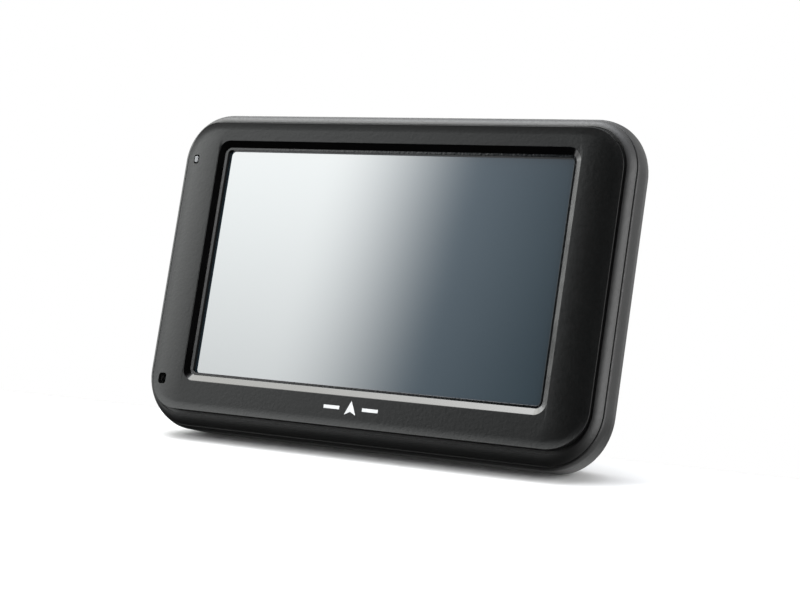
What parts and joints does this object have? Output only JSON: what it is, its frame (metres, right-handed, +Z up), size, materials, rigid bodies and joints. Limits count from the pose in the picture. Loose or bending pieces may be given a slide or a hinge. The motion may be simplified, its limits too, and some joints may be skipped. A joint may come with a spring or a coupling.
{
  "type": "portable car navigator",
  "caption": "Slim hand-held car navigator with a wide touch screen in a rounded dark plastic body, with a power button, a battery switch, side sockets and a rear speaker.",
  "frame": {"origin": "centre of the bounding box on the flat underside", "axes": "+X to the right seen from the front, +Y from the screen towards the back, +Z up"},
  "size_m": [0.128, 0.019, 0.0799],
  "materials": {
    "shell": "fine moulded grain, dark charcoal",
    "gloss_trim": "polished black",
    "touch_glass": "smooth, soft reflection",
    "panel": "dark display panel",
    "tin_plate": "stamped, tin plated",
    "screw_steel": "zinc plated",
    "circuit_board": "green solder mask",
    "chip": "moulded epoxy",
    "ceramic": "unglazed, silvered patch",
    "cell": "foil pouch",
    "foam": "fine cell foam",
    "rubber": "matte",
    "light_guide": "translucent",
    "polyimide": "amber film",
    "socket": "glass filled nylon",
    "cone": "pressed cone",
    "label": "blank printed film"
  },
  "bodies": {
    "housing": {"front_bezel": "shell", "mid_frame": "shell", "rear_cover": "shell", "rating_label": "label", "screen_trim": "gloss_trim", "touch_panel": "touch_glass", "screen_gasket": "foam", "lcd_panel": "panel", "lcd_tray": "tin_plate", "lcd_ribbon": "polyimide", "main_board": "circuit_board", "processor": "chip", "memory_chip": "chip", "flash_chip": "chip", "power_coil": "chip", "rf_shield": "tin_plate", "antenna_board": "circuit_board", "antenna_patch": "ceramic", "battery": "cell", "battery_pad": "foam", "battery_connector": "socket", "speaker": "cone", "speaker_gasket": "foam", "headphone_jack": "socket", "usb_socket": "tin_plate", "card_socket": "tin_plate", "light_pipe": "light_guide", "status_led": "light_guide", "microphone": "tin_plate", "microphone_boot": "rubber", "power_tact_switch": "socket", "battery_switch_body": "tin_plate", "cover_screw_1": "screw_steel", "cover_screw_2": "screw_steel", "cover_screw_3": "screw_steel", "cover_screw_4": "screw_steel", "board_screw_1": "screw_steel", "board_screw_2": "screw_steel"},
    "power_button": {"power_button": "gloss_trim", "power_plunger": "socket"},
    "battery_switch": {"battery_switch_knob": "gloss_trim"}
  },
  "joints": [
    {"name": "power_button_press", "type": "slide", "parent": "housing", "child": "power_button", "axis": [0, 0, -1], "range_m": [0, 0.0004], "stiffness_N_per_m": 600},
    {"name": "battery_switch_slide", "type": "slide", "parent": "housing", "child": "battery_switch", "axis": [1, 0, 0], "range_m": [0, 0.003]}
  ]
}
